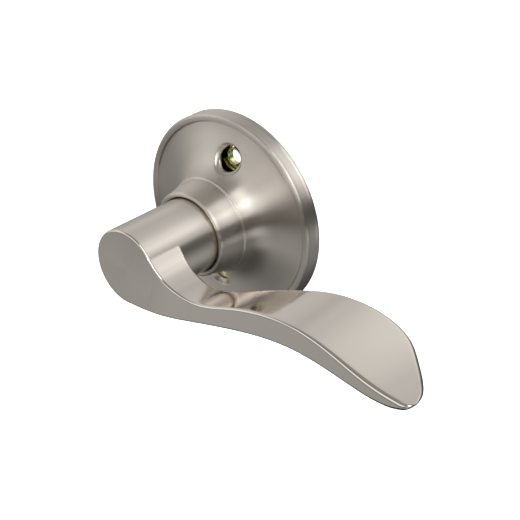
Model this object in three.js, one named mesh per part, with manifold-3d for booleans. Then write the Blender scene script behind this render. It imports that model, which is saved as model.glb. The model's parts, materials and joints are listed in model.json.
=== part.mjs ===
// Inside half of a tubular lever handle set: a wave lever on a round rose.
// Millimetres, +Z up. The door face is the plane y = 0 and +Y points into the door.
// The origin is on the spindle axis, and the lever's arm points along +X.
// "Depth" below always means the distance out from the door, so y = -depth.
import * as THREE from "three";
import { mergeVertices } from "three/addons/utils/BufferGeometryUtils.js";
import Module from "manifold-3d";

const wasm = await Module();
wasm.setup();

// Driving dimensions: the lever
const LEVER_FRONT = 49.4; // depth of the lever's flat front face
const FRONT_EDGE_ROUND = 0.7;
const SHANK_RADIUS = 11.95;
const SHANK_REAR = 15.5; // depth of the shank's end, inside the rose's collar
const SHANK_CHAMFER = 0.5;
const SHANK_BORE_RADIUS = 8.2;
const SHANK_BORE_END = 45;
const KEY_DEPTH = 40.5; // middle of the key that stands in the bore
const KEY_LENGTH = 9;
const KEY_WIDTH = 2.2;
const CATCH_DEPTH = 29;
const CATCH_NOSE_RADIUS = 1.7;

// Driving dimensions: the rose and its screws
const ROSE_RADIUS = 33;
const SKIN = 1.05; // sheet thickness of the rose
const SCREW_CIRCLE_RADIUS = 20.8;
const SCREW_LINE_TILT = THREE.MathUtils.degToRad(7.8); // screw line, turned from vertical
const SCREW_OPENING_RADIUS = 4.2; // hole in the rose
const SCREW_POCKET_RADIUS = 5.3; // sunk ring round that hole
const SCREW_POCKET_FLOOR = 6.2;
const SCREW_BORE_RADIUS = 2.3; // hole in the ferrule, for an M4 or number 8 screw
const FERRULE_RADIUS = 3;
const FERRULE_FRONT = 4.4;

// Driving dimensions: the plate, the cage and what turns in them
const PLATE_BACK = 2.4;
const PLATE_FRONT = 3.6;
const PLATE_RADIUS = 31.6;
const PLATE_BORE_RADIUS = 9.2; // also the cage's
const CAGE_RADIUS = 13.7;
const CAGE_FLANGE_RADIUS = 19.2;
const CAGE_FRONT = 14.2;
const SHEET = 1; // sheet thickness of the cage
const RIVET_CIRCLE_RADIUS = 16.6;
const RIVET_RADIUS = 1.2;
const RIVET_HEAD_RADIUS = 1.9;
const BUSH_BORE_RADIUS = 8;
const BUSH_SLEEVE_RADIUS = 8.9;
const TUBE_RADIUS = 7.85;
const TUBE_BORE_RADIUS = 6.35;
const TUBE_REAR = 0.2;
const TUBE_FRONT = 43;
const TUBE_GROOVE_RADIUS = 7.1; // where the retaining ring sits
const SOCKET_REAR = 0.6;
const SOCKET_FRONT = 20;
const HALF_ROUND_RADIUS = 4.6; // of the latch spindle's hole
const PIN_DEPTH = 16.5;
const PIN_RADIUS = 1.2;
const PIN_HALF_LENGTH = 7.6;
const CAM_REAR = 11.4;
const CAM_FRONT = 12.8;
const LUG_ANGLE = Math.PI / 2; // the cam's lug points up when the lever is level
const TURN_LIMIT = THREE.MathUtils.degToRad(50);
const SPRING_RADIUS = 10.4; // of the return spring, to the middle of its wire
const SPRING_WIRE_RADIUS = 0.75;
const SPRING_LEG_SHIFT = 0.3; // sideways, of each straight end
const GAP = 0.3; // between pieces that rest on each other
const ROSE_SEGMENTS = 48;
const SMALL_HOLE_SEGMENTS = 16;

// Materials
const metal = (color, roughness) => new THREE.MeshStandardMaterial({ color, roughness, metalness: 1 });
const SATIN_NICKEL = metal(0xb8afa6, 0.32);
const YELLOW_ZINC = metal(0xb7a25a, 0.35);
const BRIGHT_ZINC = metal(0xa9acb0, 0.4);
const SPRING_STEEL = metal(0x6b6c70, 0.35);
const NYLON = new THREE.MeshStandardMaterial({ color: 0x2b2b2c, roughness: 0.55, metalness: 0 });

// Solids from three.js geometry
function withoutCollapsedFaces(index) {
  const kept = [];
  for (let i = 0; i < index.length; i += 3) {
    const [a, b, c] = [index[i], index[i + 1], index[i + 2]];
    if (a !== b && b !== c && c !== a) kept.push(a, b, c);
  }
  return new Uint32Array(kept);
}

function solid(geometry) {
  const bare = geometry.index ? geometry.toNonIndexed() : geometry.clone();
  bare.deleteAttribute("normal");
  bare.deleteAttribute("uv");
  const merged = mergeVertices(bare, 1e-4);
  const triVerts = withoutCollapsedFaces(merged.index.array);
  return new wasm.Manifold(
    new wasm.Mesh({ numProp: 3, vertProperties: merged.attributes.position.array, triVerts }),
  );
}

function part(name, material, body) {
  const mesh = body.getMesh();
  const geometry = new THREE.BufferGeometry();
  geometry.setAttribute("position", new THREE.BufferAttribute(mesh.vertProperties, mesh.numProp));
  geometry.setIndex(new THREE.BufferAttribute(mesh.triVerts, 1));
  geometry.computeVertexNormals();
  const made = new THREE.Mesh(geometry, material);
  made.name = name;
  return made;
}

const joined = (bodies) => bodies.reduce((all, body) => all.add(body));
const cutBy = (body, tools) => tools.reduce((rest, tool) => rest.subtract(tool), body);

// A closed outline of [radius, depth] points, turned round the spindle axis.
function turned(outline, segments = 36) {
  const points = outline.map(([radius, depth]) => new THREE.Vector2(radius, -depth));
  if (THREE.ShapeUtils.area(points) < 0) points.reverse();
  return solid(new THREE.LatheGeometry([...points, points[0]], segments));
}

const ring = (inner, outer, back, front, segments = 36) =>
  turned([[inner, back], [outer, back], [outer, front], [inner, front]], segments);

// A rod parallel to the spindle axis, at [x, z], from one depth to another.
function rodOut(radius, [x, z], back, front, segments = 20) {
  const geometry = new THREE.CylinderGeometry(radius, radius, front - back, segments);
  return solid(geometry.translate(x, -(back + front) / 2, z));
}

// A rod along Z, at a depth, from one height to another.
function rodUp(radius, depth, low, high, segments = 20) {
  const geometry = new THREE.CylinderGeometry(radius, radius, high - low, segments);
  return solid(geometry.rotateX(Math.PI / 2).translate(0, -depth, (low + high) / 2));
}

function block([width, length, height], x, depth, z) {
  return solid(new THREE.BoxGeometry(width, length, height).translate(x, -depth, z));
}

// A block out along a radius, between two radii and two depths, at an angle from +X towards +Z.
function radialBlock(inner, outer, width, back, front, angle) {
  const geometry = new THREE.BoxGeometry(outer - inner, front - back, width);
  geometry.translate((inner + outer) / 2, -(back + front) / 2, 0);
  return solid(geometry.rotateY(-angle));
}

// A front view outline of [x, z] points, drawn out from one depth to another.
function drawnOut(shape, back, front, rounding = 0) {
  const geometry = new THREE.ExtrudeGeometry(shape, {
    depth: front - back - 2 * rounding,
    bevelEnabled: rounding > 0,
    bevelThickness: rounding,
    bevelSize: rounding,
    bevelOffset: -rounding,
    bevelSegments: 2,
    curveSegments: 5,
  });
  return solid(geometry.translate(0, 0, back + rounding).rotateX(Math.PI / 2));
}

function wire(points, radius, steps, sides) {
  const section = new THREE.Shape();
  for (let i = 0; i < sides; i += 1) {
    const angle = (2 * Math.PI * i) / sides;
    section[i === 0 ? "moveTo" : "lineTo"](radius * Math.cos(angle), radius * Math.sin(angle));
  }
  const extrudePath = new THREE.CatmullRomCurve3(points);
  return solid(new THREE.ExtrudeGeometry(section, { steps, extrudePath }));
}

const vectors = (points) => points.map(([x, y]) => new THREE.Vector2(x, y));

// Screw positions as [x, z]: upper, then lower.
const screwPlaces = [1, -1].map((side) => [
  side * SCREW_CIRCLE_RADIUS * Math.sin(SCREW_LINE_TILT),
  side * SCREW_CIRCLE_RADIUS * Math.cos(SCREW_LINE_TILT),
]);

// Lever: a wave in front view, cut to the paddle's outline in top view, on a round shank
const WAVE_TOP = [[15.2, 1.6], [21, -0.5], [29, -0.9], [40.5, 2.4], [51, 5.1], [62, 6.1], [74, 4.2],
  [85, 0.6], [92, -1.2], [98, -2], [106, -2.3]];
const WAVE_BOTTOM = [[13.8, -11], [26.9, -8], [39.3, -4.9], [51.2, -2.5], [62.7, -1.5], [73.6, -2.5],
  [84.3, -4.6], [91, -5.5], [95.5, -5.4], [99, -5.0], [106, -4.9]];
const PADDLE_TIP = [[99.6, 49.3], [101.3, 48.7], [102.2, 47.6], [102.4, 46], [101.6, 43.1],
  [99.9, 39.7], [96.5, 35.4], [91, 29.9]];
const PADDLE_BACK = [[86.4, 26.3], [80, 24.6], [72, 25.4], [60, 29], [50, 33.4], [40, 36.8],
  [30, 38.4], [20, 38.4], [11, 36.8]];

function wave() {
  const shape = new THREE.Shape();
  shape.moveTo(0, -SHANK_RADIUS);
  shape.lineTo(3, -11.9);
  shape.splineThru(vectors(WAVE_BOTTOM));
  shape.lineTo(...WAVE_TOP.at(-1));
  shape.splineThru(vectors([...WAVE_TOP.toReversed().slice(1), [9.8, 6.8]]));
  shape.lineTo(0, 3);
  shape.closePath();
  return drawnOut(shape, PLATE_FRONT, LEVER_FRONT, FRONT_EDGE_ROUND);
}

// The arm's outline in top view, drawn up and down past the whole wave.
function paddleOutline() {
  const hubSide = -1;
  const corner = LEVER_FRONT + 1;
  const tipStart = 97.5; // where the tip's rounding leaves the front face
  const backOfHub = PADDLE_BACK.at(-1)[1];
  const shape = new THREE.Shape();
  shape.moveTo(hubSide, -corner);
  shape.lineTo(tipStart, -corner);
  shape.splineThru(vectors([...PADDLE_TIP, ...PADDLE_BACK].map(([x, depth]) => [x, -depth])));
  shape.lineTo(hubSide, -backOfHub);
  shape.closePath();
  const height = 4 * SHANK_RADIUS;
  const options = { depth: height, bevelEnabled: false, curveSegments: 3 };
  return solid(new THREE.ExtrudeGeometry(shape, options).translate(0, 0, -height / 2));
}

function leverHandle() {
  const arm = wave().intersect(paddleOutline());
  const frontCorner = 0.2; // how far in from the sharp corner the rounding's middle lies
  const shank = turned([
    [0, SHANK_REAR],
    [SHANK_RADIUS - SHANK_CHAMFER, SHANK_REAR],
    [SHANK_RADIUS, SHANK_REAR + SHANK_CHAMFER],
    [SHANK_RADIUS, LEVER_FRONT - FRONT_EDGE_ROUND],
    [SHANK_RADIUS - frontCorner, LEVER_FRONT - frontCorner],
    [SHANK_RADIUS - FRONT_EDGE_ROUND, LEVER_FRONT],
    [0, LEVER_FRONT],
  ], ROSE_SEGMENTS);
  const bore = ring(0, SHANK_BORE_RADIUS, SHANK_REAR - 1, SHANK_BORE_END);
  const releaseHoleRadius = CATCH_NOSE_RADIUS + 0.35;
  const releaseHole = rodUp(releaseHoleRadius, CATCH_DEPTH, -SHANK_RADIUS - 1, -TUBE_BORE_RADIUS);
  const keyHeight = 1.8;
  const keyCentre = SHANK_BORE_RADIUS - 0.5; // a little of the key is sunk in the shank
  const key = block([KEY_WIDTH, KEY_LENGTH, keyHeight], 0, KEY_DEPTH, keyCentre);
  return cutBy(joined([arm, shank]), [bore, releaseHole]).add(key);
}

// Rose: its outer face from the rim to the collar, then the lip and the inner face
const ROSE_FACE = [[33.3, 0.6], [33.3, 4.4], [32.9, 5.3], [32.3, 5.65], [31.6, 5.45], [31.1, 5.6],
  [30.6, 5], [29.6, 5.1], [26.5, 5.8], [23, 6.7], [20, 7.8], [17.8, 9.3], [16.3, 11.3],
  [15.6, 13.7], [13.9, 20.9]];
const ROSE_LIP = [[13.7, 22], [13, 22.7], [12.6, 22.3], [12.5, 21.2]];

function insideOf(face) {
  return face.map(([radius, depth], i) => {
    const [radiusBefore, depthBefore] = face[Math.max(i - 1, 0)];
    const [radiusAfter, depthAfter] = face[Math.min(i + 1, face.length - 1)];
    const along = new THREE.Vector2(radiusAfter - radiusBefore, depthAfter - depthBefore).normalize();
    return [radius - SKIN * along.y, depth + SKIN * along.x];
  });
}

function roseCover() {
  const grooveInner = 30.5; // the groove's own wiggle would fold the inner face over itself
  const grooveOuter = 31.9;
  const rimShoulder = 3.8; // depth where the rim's inner wall starts to curve in
  const inner = insideOf(ROSE_FACE)
    .slice(2)
    .filter(([radius]) => radius < grooveInner || radius > grooveOuter);
  const skin = turned([
    [ROSE_RADIUS, 0],
    ...ROSE_FACE,
    ...ROSE_LIP,
    ...inner.toReversed(),
    [ROSE_RADIUS - SKIN, rimShoulder],
    [ROSE_RADIUS - SKIN, 0],
  ], ROSE_SEGMENTS);
  const underFace = turned([[0, 0], ...ROSE_FACE, [0, ROSE_FACE.at(-1)[1]]], ROSE_SEGMENTS);
  const floor = SCREW_POCKET_FLOOR;
  const outside = 14; // depth clear of the face round the screws
  const cups = screwPlaces.map((place) =>
    rodOut(SCREW_POCKET_RADIUS + SKIN, place, floor - SKIN, outside).intersect(underFace));
  const pockets = screwPlaces.map((place) => rodOut(SCREW_POCKET_RADIUS, place, floor, outside));
  const openings = screwPlaces.map((place) =>
    rodOut(SCREW_OPENING_RADIUS, place, floor - 2 * SKIN, outside));
  return cutBy(joined([skin, ...cups]), [...pockets, ...openings]);
}

function collarBushing() {
  const bore = SHANK_RADIUS + 0.2;
  const rear = 16.2;
  const front = 19.8;
  return turned([[bore, rear], [13.5, rear], [bore + 0.5, front], [bore, front]]);
}

// Plate, ferrules, cage and rivets
const rivetPlaces = [0, 1, 2].map((i) => {
  const angle = THREE.MathUtils.degToRad(180 + 120 * i);
  return [RIVET_CIRCLE_RADIUS * Math.cos(angle), RIVET_CIRCLE_RADIUS * Math.sin(angle)];
});

function mountingPlate() {
  const rimWidth = 1.2;
  const rimRounding = 0.8;
  const pan = turned([
    [PLATE_BORE_RADIUS, PLATE_BACK],
    [PLATE_RADIUS - rimWidth, PLATE_BACK],
    [PLATE_RADIUS - rimWidth, GAP],
    [PLATE_RADIUS, GAP],
    [PLATE_RADIUS, PLATE_FRONT - rimRounding],
    [PLATE_RADIUS - rimRounding, PLATE_FRONT],
    [PLATE_BORE_RADIUS, PLATE_FRONT],
  ], ROSE_SEGMENTS);
  const through = [PLATE_BACK - 1, PLATE_FRONT + 1];
  const springHoleRadius = SPRING_WIRE_RADIUS + 0.65;
  const holes = [
    ...screwPlaces.map((place) => rodOut(FERRULE_RADIUS + GAP, place, ...through)),
    ...rivetPlaces.map((place) =>
      rodOut(RIVET_RADIUS + GAP, place, ...through, SMALL_HOLE_SEGMENTS)),
    rodOut(springHoleRadius, [-SPRING_RADIUS, -SPRING_LEG_SHIFT], ...through, SMALL_HOLE_SEGMENTS),
  ];
  return cutBy(pan, holes);
}

function screwFerrule(place) {
  const sleeve = rodOut(FERRULE_RADIUS, place, PLATE_BACK, FERRULE_FRONT);
  return sleeve.subtract(rodOut(SCREW_BORE_RADIUS, place, PLATE_BACK - 1, FERRULE_FRONT + 1));
}

function springCage() {
  const back = PLATE_FRONT + GAP;
  const cup = turned([
    [CAGE_RADIUS - SHEET, back],
    [CAGE_FLANGE_RADIUS, back],
    [CAGE_FLANGE_RADIUS, back + SHEET],
    [CAGE_RADIUS, back + SHEET],
    [CAGE_RADIUS, CAGE_FRONT],
    [PLATE_BORE_RADIUS, CAGE_FRONT],
    [PLATE_BORE_RADIUS, CAGE_FRONT - SHEET],
    [CAGE_RADIUS - SHEET, CAGE_FRONT - SHEET],
  ]);
  const lugHalfAngle = 0.25;
  const stopHalfAngle = 0.12;
  const stopInner = 11.3;
  const stopWidth = 2.4;
  const stops = [1, -1].map((side) => radialBlock(
    stopInner,
    CAGE_RADIUS - SHEET / 2,
    stopWidth,
    CAM_REAR - 0.6,
    CAGE_FRONT - SHEET / 2,
    LUG_ANGLE + side * (TURN_LIMIT + lugHalfAngle + stopHalfAngle),
  ));
  const through = [PLATE_BACK, back + 4 * SHEET];
  const clearances = [
    ...screwPlaces.map((place) => rodOut(SCREW_OPENING_RADIUS, place, ...through)),
    ...rivetPlaces.map((place) =>
      rodOut(RIVET_RADIUS + GAP, place, ...through, SMALL_HOLE_SEGMENTS)),
  ];
  return cutBy(joined([cup, ...stops]), clearances);
}

function cageRivet(place) {
  const flangeFront = PLATE_FRONT + GAP + SHEET;
  const rod = (radius, back, front) => rodOut(radius, place, back, front, SMALL_HOLE_SEGMENTS);
  const shank = rod(RIVET_RADIUS, PLATE_BACK - 0.5, flangeFront + 0.7);
  const frontHead = rod(RIVET_HEAD_RADIUS, flangeFront + GAP, flangeFront + 1);
  const rearHead = rod(RIVET_HEAD_RADIUS, PLATE_BACK - 0.9, PLATE_BACK - GAP);
  return joined([shank, frontHead, rearHead]);
}

// Bearings and what holds the tube
function rearBush() {
  return turned([[BUSH_BORE_RADIUS, 1.65], [11.4, 1.65], [11.4, 2.15],
    [BUSH_SLEEVE_RADIUS, 2.15], [BUSH_SLEEVE_RADIUS, 4.2], [BUSH_BORE_RADIUS, 4.2]]);
}

function frontBush() {
  return turned([[BUSH_BORE_RADIUS, 13], [BUSH_SLEEVE_RADIUS, 13], [BUSH_SLEEVE_RADIUS, 14.45],
    [11.5, 14.45], [11.5, 15.2], [BUSH_BORE_RADIUS, 15.2]]);
}

const springWasher = () => ring(BUSH_BORE_RADIUS, 10, 1.25, 1.45);

function retainingRing() {
  const opening = block([6, 2, 6], 0, 1, -9.5);
  return ring(TUBE_GROOVE_RADIUS + 0.2, 9.8, 0.5, 1.1).subtract(opening);
}

// Spindle tube, its socket, pin and cam
function spindleTube() {
  const grooveRear = 0.35;
  const grooveFront = 1.2;
  const tube = turned([
    [TUBE_BORE_RADIUS, TUBE_REAR],
    [TUBE_RADIUS, TUBE_REAR],
    [TUBE_RADIUS, grooveRear],
    [TUBE_GROOVE_RADIUS, grooveRear],
    [TUBE_GROOVE_RADIUS, grooveFront],
    [TUBE_RADIUS, grooveFront],
    [TUBE_RADIUS, TUBE_FRONT],
    [TUBE_BORE_RADIUS, TUBE_FRONT],
  ]);
  const beyond = TUBE_RADIUS + 1;
  const keySlot = block([KEY_WIDTH + 0.8, KEY_LENGTH + 2, 6], 0, KEY_DEPTH - 1, beyond);
  const catchWindow = rodUp(CATCH_NOSE_RADIUS + GAP, CATCH_DEPTH, -beyond, -4);
  const pinHoles = rodUp(PIN_RADIUS + GAP, PIN_DEPTH, -beyond, beyond, SMALL_HOLE_SEGMENTS);
  const tangNotches = [0, Math.PI].map((angle) =>
    radialBlock(TUBE_GROOVE_RADIUS, beyond, 2.8, CAM_REAR - GAP, CAM_FRONT + GAP, angle));
  return cutBy(tube, [keySlot, catchWindow, pinHoles, ...tangNotches]);
}

function spindleSocket() {
  const sides = 32;
  const plug = rodOut(TUBE_BORE_RADIUS - 0.25, [0, 0], SOCKET_REAR, SOCKET_FRONT, sides);
  const halfRoundEnd = SOCKET_FRONT - 2;
  const flatHeight = -1; // the half-round hole's flat side
  const aboveFlat = block([10, 2 * SOCKET_FRONT, 8], 0, halfRoundEnd / 2, flatHeight + 4);
  const halfRound = rodOut(HALF_ROUND_RADIUS, [0, 0], 0, halfRoundEnd, sides).intersect(aboveFlat);
  const pinHole = rodUp(PIN_RADIUS + GAP, PIN_DEPTH, -8, 8, SMALL_HOLE_SEGMENTS);
  return cutBy(plug, [halfRound, pinHole]);
}

const socketPin = () =>
  rodUp(PIN_RADIUS, PIN_DEPTH, -PIN_HALF_LENGTH, PIN_HALF_LENGTH, SMALL_HOLE_SEGMENTS);

function driveCam() {
  const bore = TUBE_RADIUS + GAP;
  const rimRadius = 9.4;
  const lugRadius = 12.1;
  const lugWidth = 5.6;
  const tangWidth = 2.2;
  const washer = ring(bore, rimRadius, CAM_REAR, CAM_FRONT);
  const lug = radialBlock(bore + 0.4, lugRadius, lugWidth, CAM_REAR, CAM_FRONT, LUG_ANGLE);
  const tangs = [0, Math.PI].map((angle) =>
    radialBlock(TUBE_GROOVE_RADIUS + GAP, rimRadius - 0.6, tangWidth, CAM_REAR, CAM_FRONT, angle));
  const legHole = rodOut(
    SPRING_WIRE_RADIUS + 0.35, [SPRING_LEG_SHIFT, SPRING_RADIUS], CAM_REAR - 1, CAM_FRONT + 1,
    SMALL_HOLE_SEGMENTS);
  return joined([washer, lug, ...tangs]).subtract(legHole);
}

// Springs
function returnSpring() {
  const turns = 3.25;
  const stepsPerTurn = 20;
  const endClearance = 0.4 + SPRING_WIRE_RADIUS;
  const rear = PLATE_FRONT + endClearance;
  const front = CAM_REAR - endClearance;
  const coil = [];
  for (let i = 0; i <= turns * stepsPerTurn; i += 1) {
    const share = i / (turns * stepsPerTurn);
    const angle = LUG_ANGLE + (1 - share) * turns * 2 * Math.PI;
    const depth = rear + share * (front - rear);
    coil.push(new THREE.Vector3(
      SPRING_RADIUS * Math.cos(angle), -depth, SPRING_RADIUS * Math.sin(angle)));
  }
  const rearLeg = [PLATE_BACK + 0.2, PLATE_FRONT].map((depth) =>
    new THREE.Vector3(-SPRING_RADIUS, -depth, -SPRING_LEG_SHIFT));
  const frontLeg = [CAM_REAR, CAM_FRONT - 0.2].map((depth) =>
    new THREE.Vector3(SPRING_LEG_SHIFT, -depth, SPRING_RADIUS));
  const steps = 90;
  const sides = 8;
  return wire([...rearLeg, ...coil, ...frontLeg], SPRING_WIRE_RADIUS, steps, sides);
}

const CATCH_TIP = -10.9; // height of the catch's nose, 1 mm under the shank's surface
const CATCH_BASE = [-5.1, -4.1];

function leverCatch() {
  const baseRadius = 2.9;
  const nose = rodUp(CATCH_NOSE_RADIUS, CATCH_DEPTH, CATCH_TIP, CATCH_BASE[1]);
  return joined([nose, rodUp(baseRadius, CATCH_DEPTH, ...CATCH_BASE)]);
}

function catchSpring() {
  const turns = 5;
  const stepsPerTurn = 12;
  const sides = 6;
  const radius = 2.1;
  const wireRadius = 0.35;
  const low = CATCH_BASE[1] + GAP + wireRadius;
  const high = 5.4;
  const coil = [];
  for (let i = 0; i <= turns * stepsPerTurn; i += 1) {
    const angle = (2 * Math.PI * i) / stepsPerTurn;
    const height = low + (i / (turns * stepsPerTurn)) * (high - low);
    coil.push(new THREE.Vector3(
      radius * Math.cos(angle), radius * Math.sin(angle) - CATCH_DEPTH, height));
  }
  return wire(coil, wireRadius, turns * stepsPerTurn, sides);
}

const lockset = new THREE.Group();
lockset.add(
  part("rose_cover", SATIN_NICKEL, roseCover()),
  part("collar_bushing", NYLON, collarBushing()),
  part("mounting_plate", YELLOW_ZINC, mountingPlate()),
  part("screw_ferrule_upper", YELLOW_ZINC, screwFerrule(screwPlaces[0])),
  part("screw_ferrule_lower", YELLOW_ZINC, screwFerrule(screwPlaces[1])),
  part("spring_cage", YELLOW_ZINC, springCage()),
  ...rivetPlaces.map((place, i) => part("cage_rivet_" + (i + 1), BRIGHT_ZINC, cageRivet(place))),
  part("rear_bush", NYLON, rearBush()),
  part("front_bush", NYLON, frontBush()),
  part("spring_washer", SPRING_STEEL, springWasher()),
  part("return_spring", SPRING_STEEL, returnSpring()),
  part("lever_handle", SATIN_NICKEL, leverHandle()),
  part("spindle_tube", BRIGHT_ZINC, spindleTube()),
  part("spindle_socket", BRIGHT_ZINC, spindleSocket()),
  part("socket_pin", SPRING_STEEL, socketPin()),
  part("drive_cam", YELLOW_ZINC, driveCam()),
  part("retaining_ring", SPRING_STEEL, retainingRing()),
  part("lever_catch", BRIGHT_ZINC, leverCatch()),
  part("catch_spring", SPRING_STEEL, catchSpring()),
);

export default lockset;
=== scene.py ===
"""Looks of the inside half of a lever handle set: a satin nickel wave lever on a round rose.

Shapes are written in millimetres as (x, depth, z): depth is the distance out from the door face,
so a point sits at (x, -depth, z) in the frame. The spindle axis is x = z = 0.
"""

import json
import math

import bmesh
import bpy
import numpy as np
from mathutils import Matrix, Vector

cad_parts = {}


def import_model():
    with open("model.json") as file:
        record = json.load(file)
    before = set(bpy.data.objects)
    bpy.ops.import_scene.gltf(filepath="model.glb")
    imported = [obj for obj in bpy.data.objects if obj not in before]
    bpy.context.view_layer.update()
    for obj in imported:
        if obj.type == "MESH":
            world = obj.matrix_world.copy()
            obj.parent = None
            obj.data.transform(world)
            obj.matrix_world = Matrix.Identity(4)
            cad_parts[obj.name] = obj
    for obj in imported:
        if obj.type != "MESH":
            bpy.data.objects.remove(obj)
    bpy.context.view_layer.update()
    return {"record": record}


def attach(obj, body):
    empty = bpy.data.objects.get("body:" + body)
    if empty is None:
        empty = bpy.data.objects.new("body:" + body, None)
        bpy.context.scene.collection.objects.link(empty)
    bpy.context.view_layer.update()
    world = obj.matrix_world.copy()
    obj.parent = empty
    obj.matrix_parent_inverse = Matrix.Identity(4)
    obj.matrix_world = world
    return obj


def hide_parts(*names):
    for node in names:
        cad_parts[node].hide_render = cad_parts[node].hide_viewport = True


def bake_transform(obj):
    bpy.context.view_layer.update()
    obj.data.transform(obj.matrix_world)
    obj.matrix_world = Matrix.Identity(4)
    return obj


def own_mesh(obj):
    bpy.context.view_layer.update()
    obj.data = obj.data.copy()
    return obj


MM = 0.001

# Dimensions shared with the CAD part
LEVER_FRONT = 49.4
SHANK_RADIUS = 11.95
SHANK_REAR = 15.5
SHANK_BORE_RADIUS = 8.2
SHANK_BORE_END = 45.0
SKIN = 1.05
SCREW_CIRCLE_RADIUS = 20.8
SCREW_LINE_TILT = math.radians(7.8)
TUBE_RADIUS = 7.85
CATCH_DEPTH = 29.0
RIVET_CIRCLE_RADIUS = 16.6
SPRING_RADIUS = 10.4
SPRING_WIRE_RADIUS = 0.75
CAM_REAR = 11.4
CAM_FRONT = 12.8
TURN_LIMIT = math.radians(50)

SCREW_PLACES = [
    (
        side * SCREW_CIRCLE_RADIUS * math.sin(SCREW_LINE_TILT),
        side * SCREW_CIRCLE_RADIUS * math.cos(SCREW_LINE_TILT),
    )
    for side in (1, -1)
]
RIVET_PLACES = [
    (
        RIVET_CIRCLE_RADIUS * math.cos(math.radians(180 + 120 * i)),
        RIVET_CIRCLE_RADIUS * math.sin(math.radians(180 + 120 * i)),
    )
    for i in range(3)
]


# ---------------------------------------------------------------- geometry helpers


def smoothstep(low, high, value):
    share = np.clip((value - low) / (high - low), 0, 1)
    return share * share * (3 - 2 * share)


def spline(points, count):
    """A natural cubic spline through the points, sampled evenly along its chord length."""
    p = np.array(points, float)
    t = np.r_[0, np.cumsum(np.linalg.norm(np.diff(p, axis=0), axis=1))]
    h, n = np.diff(t), len(p)
    a, b = np.eye(n), np.zeros_like(p)
    for i in range(1, n - 1):
        a[i, i - 1 : i + 2] = h[i - 1], 2 * (h[i - 1] + h[i]), h[i]
        b[i] = 6 * ((p[i + 1] - p[i]) / h[i] - (p[i] - p[i - 1]) / h[i - 1])
    m = np.linalg.solve(a, b)
    s = np.linspace(0, t[-1], count)
    k = np.clip(np.searchsorted(t, s, side="right") - 1, 0, n - 2)
    d, hk = (s - t[k])[:, None], h[k][:, None]
    slope = (p[k + 1] - p[k]) / hk - hk * (2 * m[k] + m[k + 1]) / 6
    return p[k] + slope * d + m[k] * d**2 / 2 + (m[k + 1] - m[k]) * d**3 / (6 * hk)


def rounded(outline, radius, steps=4, closed=True):
    """The outline with each corner replaced by an arc of about that radius."""
    p = [np.array(q[:2], float) for q in outline]
    radii = [q[2] if len(q) > 2 else radius for q in outline]
    made = []
    for i, corner in enumerate(p):
        if not closed and i in (0, len(p) - 1):
            made.append(corner)
            continue
        before, after = p[i - 1], p[(i + 1) % len(p)]
        a, b = before - corner, after - corner
        la, lb = np.linalg.norm(a), np.linalg.norm(b)
        turn = math.acos(np.clip(a @ b / (la * lb), -1, 1))
        if radii[i] <= 0 or abs(math.pi - turn) < 0.03:
            made.append(corner)
            continue
        reach = min(radii[i] / math.tan(turn / 2), 0.45 * la, 0.45 * lb)
        start, end = corner + a / la * reach, corner + b / lb * reach
        for k in range(steps + 1):
            s = k / steps
            made.append((1 - s) ** 2 * start + 2 * s * (1 - s) * corner + s**2 * end)
    return made


def new_piece(name, points, faces, sharp_angle=38, uvs=None):
    """A mesh object from (x, depth, z) points in millimetres, with outward normals."""
    mesh = bpy.data.meshes.new(name)
    mesh.from_pydata([(x * MM, -d * MM, z * MM) for x, d, z in points], [], faces)
    if uvs is not None:
        layer = mesh.uv_layers.new(name="brushing")
        for loop in mesh.loops:
            layer.data[loop.index].uv = uvs[loop.vertex_index]
    obj = bpy.data.objects.new(name, mesh)
    bpy.context.scene.collection.objects.link(obj)
    clean(obj, sharp_angle)
    return obj


def clean(obj, sharp_angle=38):
    """Merges doubles, turns the faces outward, and shades smooth except over sharp edges."""
    bm = bmesh.new()
    bm.from_mesh(obj.data)
    bmesh.ops.remove_doubles(bm, verts=bm.verts, dist=2e-7)
    bmesh.ops.dissolve_degenerate(bm, edges=bm.edges, dist=1e-8)
    bmesh.ops.recalc_face_normals(bm, faces=bm.faces)
    bm.to_mesh(obj.data)
    bm.free()
    obj.data.shade_smooth()
    obj.data.set_sharp_from_angle(angle=math.radians(sharp_angle))


def lofted(name, sections, closed_ends=True, uvs=None, sharp_angle=38):
    """A skin over closed sections that all have the same number of points."""
    count = len(sections[0])
    points = [q for section in sections for q in section]
    faces = []
    for i in range(len(sections) - 1):
        for j in range(count):
            k = (j + 1) % count
            faces.append((i * count + j, i * count + k, (i + 1) * count + k, (i + 1) * count + j))
    if closed_ends:
        faces.append(tuple(range(count)))
        faces.append(tuple(range((len(sections) - 1) * count, len(sections) * count)))
    flat = [uv for section in uvs for uv in section] if uvs else None
    return new_piece(name, points, faces, sharp_angle, flat)


def turned(name, outline, rounding=0.12, segments=128, place=(0, 0)):
    """A closed outline of (radius, depth) points turned round an axis along the depth."""
    path = rounded(outline, rounding)
    count = len(path)
    points, faces, uvs = [], [], []
    along = np.r_[0, np.cumsum([np.linalg.norm(b - a) for a, b in zip(path, path[1:])])]
    for i in range(segments):
        angle = 2 * math.pi * i / segments
        for (radius, depth), s in zip(path, along):
            points.append(
                (place[0] + radius * math.cos(angle), depth, place[1] + radius * math.sin(angle))
            )
            uvs.append((i / segments, s / 50))
    for i in range(segments):
        a, b = i * count, ((i + 1) % segments) * count
        for j in range(count):
            k = (j + 1) % count
            faces.append((a + j, a + k, b + k, b + j))
    return new_piece(name, points, faces, uvs=uvs)


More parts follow.
